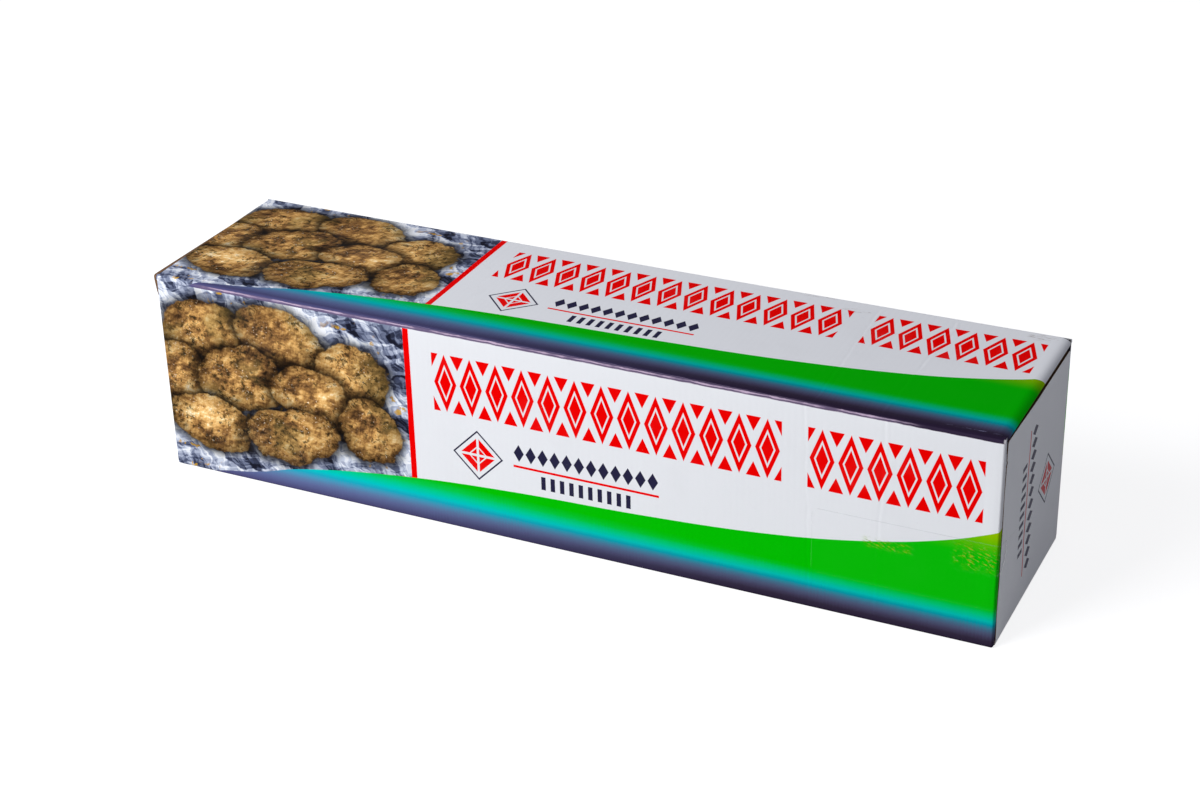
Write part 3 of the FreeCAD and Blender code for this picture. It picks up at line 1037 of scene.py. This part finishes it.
def border_mask(x, v, sizes):
    """The red border: tall lozenges, one in another, with small triangles between, in two groups."""
    middle, half = (sizes.border_low + sizes.border_high) / 2, (sizes.border_high - sizes.border_low) / 2
    up = abs(v - middle)
    groups = ((sizes.border_left, sizes.border_gap - 4.6, 13),
              (sizes.border_gap + 4.2, sizes.border_right, 6))
    mask = 0.0
    for start, end, count in groups:
        pitch = (end - start) / count
        from_middle = abs(((x - start) % pitch) - pitch / 2)
        reach = from_middle / (pitch * 0.44) + up / half
        lozenge = (1.0 - reach).rise(-0.02, 0.03) * (1.0 - reach.within(0.5, 0.64, 0.02))
        from_side = from_middle * -1.0 + pitch / 2
        triangle = (half - up) / (half * 0.5) + from_side / (pitch * 0.27)
        triangle = (1.0 - triangle).rise(-0.02, 0.04) * up.rise(half + 0.05, half - 0.15)
        mask = lozenge.most(triangle) * x.within(start, end) + mask
    return mask


def print_places(tree):
    """The two print coordinates of a face, in millimetres, and its place in space in millimetres."""
    unfolded = add_node(tree, "UVMap", {"uv_map": PRINT_MAP})
    spots = add_node(tree, "SeparateXYZ", Vector=unfolded.outputs["UV"])
    solid = add_node(tree, "VectorMath", {"operation": "SCALE"})
    feed(solid.inputs[0], add_node(tree, "TexCoord").outputs["Object"])
    feed(solid.inputs["Scale"], 1 / MM)
    return Field(spots.outputs["X"]), Field(spots.outputs["Y"]), solid.outputs["Vector"]


def new_material(name):
    """An empty material with its Principled shader."""
    material = bpy.data.materials.new(name)
    material.use_nodes = True
    return material, material.node_tree, material.node_tree.nodes["Principled BSDF"]


def panel_paper(name, sizes, print_sizes, colours, with_picture):
    """Coated board of the long panels: picture field or white with border and badge, red bar and stripe."""
    material, tree, shader = new_material(name)
    x, v, place = print_places(tree)
    if with_picture:
        page = picture_colour(x, v, colours)
    else:
        badge = use_group(tree, badge_group(print_sizes), Across=x, Up=v, Badge_across=print_sizes.badge_x,
                          Badge_up=print_sizes.badge_v)
        red = border_mask(x, v, print_sizes).most(Field(badge["Red"]))
        page = blend(Field(badge["Navy"]), blend(red, colours.white, colours.red), colours.navy)
    page = blend(x.within(print_sizes.bar_left, print_sizes.bar_right), page, colours.red)
    axes = add_node(tree, "SeparateXYZ", Vector=place).outputs
    height, roof = Field(axes["Z"]), carton_limits()[3]
    on_top, upper_fold = height.rise(roof - 1.1, roof - 0.1), height.rise(20.0, 40.0)
    stripe = use_group(tree, stripe_group(colours), Across=x, Up=v)
    inked = (Field(stripe["Edge"]) - v).rise(-0.12, 0.12)
    # Painted shade: on the top panel the stripe is made a fifth darker than on the other panels.
    page = blend(inked, page, blend(on_top * 0.2, stripe["Colour"], screen_colour(0, 0, 0)))
    page = blend(abs(x).rise(PRINT_END - 0.1, PRINT_END + 0.1), page, colours.white)
    rub_and_glint = use_group(tree, fold_wear_sheen_group(), Across=x, Up=v, Colour=page, Upper_fold=upper_fold)
    scuffed = use_group(tree, scuff_group(), Across=x, Depth=Field(axes["Y"]), Colour=rub_and_glint["Colour"],
                        On_top=on_top)

    worn = use_group(tree, wear_group(), Place=place, Colour=scuffed["Colour"], Amount=0.5 - inked * 0.44)
    feed(shader.inputs["Base Color"], worn["Colour"])
    feed(shader.inputs["Roughness"], worn["Roughness"])
    shader.inputs["Specular IOR Level"].default_value = 0.003
    flutes = use_group(tree, flute_group(sizes), Across=x, Place=place)
    relief = Field(flutes["Height"]) + Field(rub_and_glint["Crack"]) * 1.5
    bump = add_node(tree, "Bump", Strength=0.22, Distance=0.00008, Height=relief)
    feed(shader.inputs["Normal"], bump.outputs["Normal"])
    return material


def fold_wear_sheen_group():
    """The print where it runs round a long fold: paler in a band of painted sheen, with a lilac line along
    it that is partly cracked ink and partly a painted highlight, painted glossy streaks, worn specks with
    painted glints, and a pale chip at the right end.
    """

    def fill(given):
        x, v, page, upper = given["Across"], given["Up"], given["Colour"], given["Upper fold"]
        printed = x.rise(-141.0, -134.0)
        wander = noise(point(x / 9.0, 0.0 * v), 1.0, 4.0, 0.6) - 0.5
        # Painted sheen: the print turns paler and lilac where it rounds the fold.
        band = (1.0 - (v + wander * 0.6).rise(-0.6, -0.2)) * printed * (1.0 - x.rise(112.0, 130.0) * 0.9)
        page = blend(band * 0.72, page, screen_colour(116, 101, 130))

        # A lilac line along the fold, partly cracked ink and partly a painted highlight on the crumpled
        # fold.
        strength = noise(point(x / 13.0, 0.0 * v, 4.0), 1.0, 3.0).rise(0.36, 0.58)
        strength = strength * (1.0 - x.rise(118.0, 130.0))
        width = noise(point(x / 6.0, 0.0 * v, 7.0), 1.0, 3.0).rise(0.4, 0.66) * 0.45 + 0.32
        crack_glint = (1.0 - abs(v - wander * 1.5 + 0.95).rise(0.12, width)) * strength * printed
        page = blend(crack_glint * 0.92, page, screen_colour(200, 178, 202))
        # A fainter second lilac line: painted highlight.
        second = (1.0 - abs(v + wander * 1.3 + 0.1).rise(0.04, 0.2)) * x.within(-70.0, 90.0, 12.0)
        page = blend(second * (0.45 - strength * 0.22), page, screen_colour(150, 134, 166))
        ragged = (1.0 - (v + 1.8 - wander * 1.0).rise(-0.08, 0.08)) * x.rise(-56.0, -50.0)
        page = blend(ragged * 0.85, page, screen_colour(226, 222, 230))

        # Painted glossy streaks near the right end of the upper fold, and specks along the folds that are
        # partly worn print and partly painted glints.
        streak = (1.0 - abs(v - wander * 1.5 - 2.4).rise(0.1, 0.35)) * x.within(136.0, 151.0, 2.0) * printed
        streak = streak * noise(point(x / 2.5, v, 9.0), 1.0, 2.0).rise(0.46, 0.62)
        rub_and_glint = (1.0 - v.rise(0.2, 2.0)) * noise(point(x, v * 2.0), 0.9, 4.0, 0.7).rise(0.68, 0.78)
        rub_and_glint = rub_and_glint * (upper * 0.45 + 0.12)
        page = blend((streak * upper * 0.6).most(rub_and_glint * printed), page, screen_colour(140, 138, 176))
        chip = x.rise(153.9, 154.4) * (1.0 - abs(v + 0.9).rise(0.5, 1.1)) * upper
        return {"Colour": blend(chip * 0.7, page, screen_colour(208, 205, 210)), "Crack": crack_glint}

    inputs = {"Across": "value", "Up": "value", "Colour": "colour", "Upper fold": "value"}
    return node_group("Fold wear", inputs, {"Colour": "colour", "Crack": "value"}, fill)


# Middle and half sizes of the small rubs near the top's back edge, in millimetres
SCUFFS = ((66, 35.8, 8, 1.6), (83, 30, 6, 1.6), (146, 33.5, 6, 2.6))


def scuff_group():
    """Small brown rubs on the top panel."""

    def fill(given):
        x, y = given["Across"], given["Depth"]
        rub = noise(point(x / 4.0, y * 1.8), 1.0, 3.0, 0.6).rise(0.5, 0.64)
        mask = 0.0
        for middle_x, middle_y, long, wide in SCUFFS:
            reach = ((x - middle_x) / long) ** 2.0 + ((y - middle_y) / wide) ** 2.0
            mask = (1.0 - reach.rise(0.4, 1.0)) + mask
        mask = mask * rub * given["On top"] * 0.5
        return {"Colour": blend(mask, given["Colour"], screen_colour(140, 122, 112))}

    inputs = {"Across": "value", "Depth": "value", "Colour": "colour", "On top": "value"}
    return node_group("Top scuffs", inputs, {"Colour": "colour"}, fill)


# The end flap's print is turned on its side. The height and the depth that its two coordinates start from,
# and its badge's middle in those coordinates, in millimetres
FLAP_PRINT_START = (49.4, -37.0)
FLAP_BADGE = (15.1, 53.4)


def flap_board(sizes, print_sizes, colours, name, printed):
    """White board of an end flap, with the badge and rows turned on their side where it is printed."""
    material, tree, shader = new_material(name)
    y, z, place = print_places(tree)
    page = None
    if printed:
        across, up = FLAP_PRINT_START[0] - z, y - FLAP_PRINT_START[1]
        badge = use_group(tree, badge_group(print_sizes), Across=across, Up=up,
                          Badge_across=FLAP_BADGE[0], Badge_up=FLAP_BADGE[1])
        faded_navy = blend(noise(place, 1.2, 3.0).rise(0.62, 0.75) * 0.5, colours.navy, colours.white)
        page = blend(Field(badge["Red"]), colours.white, screen_colour(196, 48, 56))
        page = blend(Field(badge["Navy"]), page, faded_navy)
    worn = use_group(tree, wear_group(), Place=place, Colour=page or colours.white, Amount=0.7)
    feed(shader.inputs["Base Color"], worn["Colour"])
    feed(shader.inputs["Roughness"], worn["Roughness"])
    shader.inputs["Specular IOR Level"].default_value = 0.02
    flutes = use_group(tree, flute_group(sizes), Across=z, Place=place)
    bump = add_node(tree, "Bump", Strength=0.25, Distance=0.0001, Height=flutes["Height"])
    feed(shader.inputs["Normal"], bump.outputs["Normal"])
    return material


def raw_board(colours, name, tone, hollow_shade=0.0):
    """Bare brown paper of the cut edges and the lining, with its fibres."""
    material, tree, shader = new_material(name)
    _, through, place = print_places(tree)
    fibre = noise(place, 0.5, 5.0, 0.7, 1.0) * 0.6 + noise(place, 4.0, 3.0) * 0.4
    dark, light = ([part * tone * share for part in colours.kraft] for share in (0.45, 1.0))
    shade = ramp(fibre, [(0.3, dark), (0.7, light)])
    # Painted shade: the hollow between the liners is darkened towards black by hollow_shade.
    shade = blend(through.within(0.2, 0.8, 0.03) * hollow_shade, shade, screen_colour(14, 10, 8))
    worn = use_group(tree, wear_group(), Place=place, Colour=shade, Amount=0.3)
    feed(shader.inputs["Base Color"], worn["Colour"])
    shader.inputs["Roughness"].default_value = 0.85
    shader.inputs["Specular IOR Level"].default_value = 0.15
    bump = add_node(tree, "Bump", Strength=0.5, Distance=0.0001, Height=fibre)
    feed(shader.inputs["Normal"], bump.outputs["Normal"])
    return material


# Where the tape's wrinkles and bubbles lie, from and to along it and then across it, and the middle and
# radius of its curved crease, in millimetres
TAPE_STREAKS = (48.0, 61.5, 1.5, 10.0)
TAPE_BUBBLES = (18.0, 33.0, 6.8, 9.9)
TAPE_CRESCENT = (60.0, 2.0, 9.0)


def tape_gloss(width):
    """Clear film that shows by its edges, wrinkles and gloss."""
    material, tree, shader = new_material("clear_tape_gloss")
    along, across, _ = print_places(tree)
    edge = (width - across).rise(width - 0.4, width - 0.1)
    edge = edge.most(across.rise(width - 0.4, width - 0.1) * 0.12)
    edge = edge.most((1.0 - along.rise(0.15, 0.5)) * 0.25)
    wave = noise(point(along / 2.2, across), 2.2, 4.0, 0.6, 0.8)
    leaning = point((along * 0.94 + across * 0.34) / 4.2, across * 0.94 - along * 0.34)
    ridge = noise(leaning, 0.55, 3.0, 0.6, 0.4).rise(0.52, 0.62)
    streaks = ridge * along.within(*TAPE_STREAKS[:2], 2.0) * across.within(*TAPE_STREAKS[2:], 2.0)
    bubbles = ridge * along.within(*TAPE_BUBBLES[:2], 2.0) * across.within(*TAPE_BUBBLES[2:], 0.8)
    middle_along, middle_across, radius = TAPE_CRESCENT
    reach = ((along - middle_along) ** 2.0 + (across - middle_across) ** 2.0) ** 0.5
    crescent = 1.0 - abs(reach - radius).rise(0.1, 0.5)
    crescent = crescent * along.rise(60.0, 63.0) * (1.0 - across.rise(9.0, 12.0))
    wrinkle = streaks.most(bubbles)
    shade = blend(edge, screen_colour(214, 216, 220), screen_colour(176, 180, 186))
    shade = blend(wrinkle.rise(0.0, 0.12), shade, screen_colour(172, 214, 0))
    feed(shader.inputs["Base Color"], shade)
    feed(shader.inputs["Alpha"], edge * 0.13 + wrinkle * 0.62 + crescent * 0.6 + 0.003)
    shader.inputs["Roughness"].default_value = 0.12
    shader.inputs["Specular IOR Level"].default_value = 0.25
    bump = add_node(tree, "Bump", Strength=0.6, Distance=0.0002, Height=wave * 0.3 + wrinkle + crescent)
    feed(shader.inputs["Normal"], bump.outputs["Normal"])
    return material


# Stage

# Distance from the middle of the floor to its sides, in metres
FLOOR_REACH = 12.0

# The camera's place in metres and its turn in degrees, as the photograph was taken
CAMERA_PLACE = (0.31886, -0.65694, 0.42462)
CAMERA_TURN = (62.188, 1.258, 25.183)

# The side that the key lamp stands on, and its distance in metres
KEY_SIDE = (-0.5, -0.72, 0.55)
KEY_DISTANCE = 1.25


def stage_floor(look):
    """A wide pale floor that shows white round the object's soft shadow."""
    mesh = bpy.data.meshes.new("stage_floor")
    corners = [(x * FLOOR_REACH, y * FLOOR_REACH, 0) for x, y in ((-1, -1), (1, -1), (1, 1), (-1, 1))]
    mesh.from_pydata(corners, [], [(0, 1, 2, 3)])
    floor = bpy.data.objects.new("stage_floor", mesh)
    bpy.context.scene.collection.objects.link(floor)
    material, tree, shader = new_material("stage_floor_white")
    tree.nodes.remove(shader)
    seen = seen_directly(tree)
    matte = add_node(tree, "BsdfDiffuse", Color=[look.floor_albedo] * 3)
    glow = add_node(tree, "Emission", Color=(1, 1, 1), Strength=seen * look.floor_glow)
    both = tree.nodes.new("ShaderNodeAddShader")
    feed(both.inputs[0], matte.outputs["BSDF"])
    feed(both.inputs[1], glow.outputs["Emission"])
    feed(tree.nodes["Material Output"].inputs["Surface"], both.outputs["Shader"])
    mesh.materials.append(material)


def seen_directly(tree):
    """1 for rays from the camera, a reflection or clear film, and 0 for those that carry light."""
    path = add_node(tree, "LightPath")
    rays = [Field(path.outputs[name]) for name in ("Is Camera Ray", "Is Glossy Ray", "Is Transmission Ray")]
    return rays[0].most(rays[1]).most(rays[2])


def surroundings(look):
    """A white room that lights the object softly from all round."""
    world = bpy.data.worlds.new("stage_surroundings")
    world.use_nodes = True
    tree = world.node_tree
    background = tree.nodes["Background"]
    seen = seen_directly(tree)
    feed(background.inputs["Color"], blend(seen, (0.96, 0.97, 1.08), (1.0, 1.0, 1.0)))
    feed(background.inputs["Strength"], seen * (1.0 - look.ambient) + look.ambient)
    bpy.context.scene.world = world


def lamp(name, direction, distance, size, share):
    """A square lamp that gives a white face turned to it the stated share of full white."""
    light = bpy.data.lights.new(name, "AREA")
    light.shape = "SQUARE"
    light.size = size
    light.energy = share * math.pi * math.pi * distance ** 2
    lit = bpy.data.objects.new(name, light)
    aim = Vector(direction).normalized()
    lit.location = aim * distance + Vector((0, 0, CARTON_HIGH.z / 2))
    lit.rotation_mode = "QUATERNION"
    lit.rotation_quaternion = aim.to_track_quat("Z", "Y")
    bpy.context.scene.collection.objects.link(lit)


def stage_camera(look):
    """The photograph's viewpoint, in front of the right end and above."""
    lens = bpy.data.cameras.new("stage_camera")
    lens.lens = look.focal_length
    lens.sensor_width = 36.0
    camera = bpy.data.objects.new("stage_camera", lens)
    camera.location = CAMERA_PLACE
    camera.rotation_euler = [math.radians(turn) for turn in CAMERA_TURN]
    bpy.context.scene.collection.objects.link(camera)
    bpy.context.scene.camera = camera


# Operators


def piece_done(piece, node):
    """Fixes a piece to the carton and hides the imported part that it stands for."""
    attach(piece, "root")
    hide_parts(node)


def named_material(name, make, *values):
    """The material of that name, made the first time it is asked for."""
    return bpy.data.materials.get(name) or make(*values)


class FOILCARTON_OT_shell(bpy.types.Operator):
    """Build the four printed panels, their folds and the closed ends"""
    bl_idname = "foil_carton.shell"
    bl_label = "Folded panels"

    def execute(self, context):
        scene = context.scene
        sizes, print_sizes = Measures(scene.carton_sizes), Measures(scene.carton_print)
        colours = scene.carton_colours
        materials = [panel_paper("printed_panels", sizes, print_sizes, colours, False),
                     raw_board(colours, "cut_edge_brown", 1.0, 0.8),
                     raw_board(colours, "lining_brown", 0.35),
                     panel_paper("picture_panels", sizes, print_sizes, colours, True)]
        piece_done(carton_shell(sizes, print_sizes, materials), "sealed_carton")
        return {"FINISHED"}


class FOILCARTON_OT_end_flaps(bpy.types.Operator):
    """Build the outer flap at each end"""
    bl_idname = "foil_carton.end_flaps"
    bl_label = "End flaps"

    def execute(self, context):
        scene = context.scene
        sizes, print_sizes = Measures(scene.carton_sizes), Measures(scene.carton_print)
        colours = scene.carton_colours
        raw = named_material("cut_edge_brown", raw_board, colours, "cut_edge_brown", 1.0, 0.8)
        dark = named_material("lining_brown", raw_board, colours, "lining_brown", 0.35)
        right = flap_board(sizes, print_sizes, colours, "right_flap_board", True)
        left = flap_board(sizes, print_sizes, colours, "left_flap_board", False)
        flap = end_flap("right_end_flap", sizes, [right, raw, dark],
                        lambda y: flap_top(y, sizes, *RIGHT_FLAP_TOP), 0.0, False)
        piece_done(flap, "sealed_carton")
        flap = end_flap("left_end_flap", sizes, [left, raw, dark],
                        lambda y: flap_top(y, sizes, *LEFT_FLAP_TOP), sizes.left_corner, True)
        piece_done(flap, "sealed_carton")
        return {"FINISHED"}


class FOILCARTON_OT_tape(bpy.types.Operator):
    """Build the strip of clear tape round the front corner of the right end"""
    bl_idname = "foil_carton.tape"
    bl_label = "Clear tape"

    def execute(self, context):
        sizes = Measures(context.scene.carton_sizes)
        film = tape_film(sizes, tape_gloss(sizes.tape_width))
        piece_done(film, "clear_tape")
        return {"FINISHED"}


class FOILCARTON_OT_stage(bpy.types.Operator):
    """Set the pale floor, the soft lamps and the camera"""
    bl_idname = "foil_carton.stage"
    bl_label = "Stage"

    def execute(self, context):
        look = context.scene.carton_stage
        stage_floor(look)
        surroundings(look)
        lamp("key_lamp", KEY_SIDE, KEY_DISTANCE, look.key_size, look.key_share)
        stage_camera(look)
        context.scene.view_settings.view_transform = "Standard"
        return {"FINISHED"}


class FOILCARTON_PT_sidebar(bpy.types.Panel):
    """Lists the carton's pieces, sizes and colours"""
    bl_idname = "FOILCARTON_PT_sidebar"
    bl_label = "Foil carton"
    bl_space_type = "VIEW_3D"
    bl_region_type = "UI"
    bl_category = "Foil carton"

    def draw(self, context):
        for operator in OPERATORS:
            self.layout.operator(operator.bl_idname)
        for group in (context.scene.carton_sizes, context.scene.carton_print, context.scene.carton_colours,
                      context.scene.carton_stage):
            box = self.layout.box()
            for name in type(group).__annotations__:
                box.prop(group, name)


OPERATORS = (FOILCARTON_OT_shell, FOILCARTON_OT_end_flaps, FOILCARTON_OT_tape, FOILCARTON_OT_stage)
GROUPS = {"carton_sizes": CartonSizes, "carton_print": PrintSizes, "carton_colours": PrintColours,
          "carton_stage": StageLook}


def register():
    """Makes the settings, operators and panel known to Blender."""
    for name, group in GROUPS.items():
        bpy.utils.register_class(group)
        setattr(bpy.types.Scene, name, PointerProperty(type=group))
    for operator in OPERATORS:
        bpy.utils.register_class(operator)
    bpy.utils.register_class(FOILCARTON_PT_sidebar)


def unregister():
    """Takes them away again."""
    bpy.utils.unregister_class(FOILCARTON_PT_sidebar)
    for operator in reversed(OPERATORS):
        bpy.utils.unregister_class(operator)
    for name, group in GROUPS.items():
        delattr(bpy.types.Scene, name)
        bpy.utils.unregister_class(group)


def main():
    """Builds every piece and the stage."""
    register()
    for operator in OPERATORS:
        area, name = operator.bl_idname.split(".")
        getattr(getattr(bpy.ops, area), name)()


if __name__ == "__main__":
    main()
